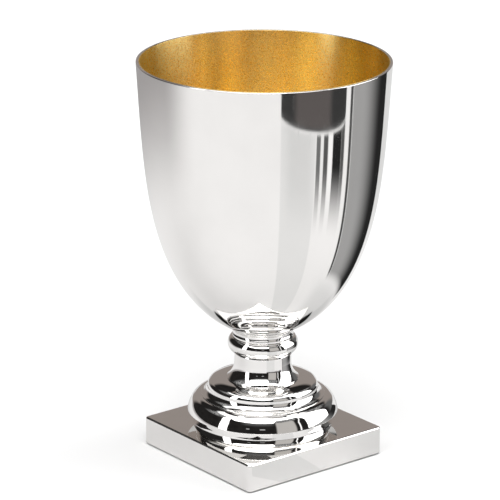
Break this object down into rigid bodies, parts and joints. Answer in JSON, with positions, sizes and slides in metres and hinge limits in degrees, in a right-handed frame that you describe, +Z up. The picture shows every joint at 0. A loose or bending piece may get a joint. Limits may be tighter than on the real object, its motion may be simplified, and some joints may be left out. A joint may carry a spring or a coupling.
{
  "type": "footed cup",
  "caption": "Open footed cup: deep rounded silver bowl with a gilt inside, on a short turned stem and a square plinth, clamped together by a stud and nut under the foot.",
  "frame": {"origin": "centre of the felt's underside, on the surface the cup stands on", "axes": "+Z up along the cup's axis; X and Y square to the plinth's sides"},
  "size_m": [0.094, 0.094, 0.1523],
  "materials": {
    "silver_bowl": "polished",
    "silver_plate": "polished",
    "gilt": "satin",
    "raw_brass": "satin",
    "bare_steel": "satin",
    "felt": "matte"
  },
  "bodies": {
    "foot": {"plinth_shell": "silver_plate", "base_plate": "raw_brass", "felt_pad": "felt", "foot_ovolo": "silver_plate", "foot_step": "silver_plate", "neck_spool": "silver_plate", "neck_bead": "silver_plate", "knop_ring": "silver_plate", "bowl_collar": "silver_plate", "clamp_plate": "bare_steel", "lock_washer": "bare_steel"},
    "bowl": {"bowl_shell": "silver_bowl", "gilt_lining": "gilt", "stud_boss": "raw_brass", "clamping_stud": "bare_steel"},
    "nut": {"retaining_nut": "raw_brass"}
  },
  "joints": [
    {"name": "bowl_lift", "type": "slide", "parent": "foot", "child": "bowl", "axis": [0, 0, 1], "range_m": [0, 0.005]},
    {"name": "nut_turn", "type": "hinge", "parent": "foot", "child": "nut", "pos_m": [0, 0, 0.0044], "axis": [0, 0, -1], "range_deg": [0, 1800]}
  ],
  "couplings": [
    {"joint": "nut_turn", "follows": "bowl_lift", "rad_per_m": 6283.2}
  ]
}
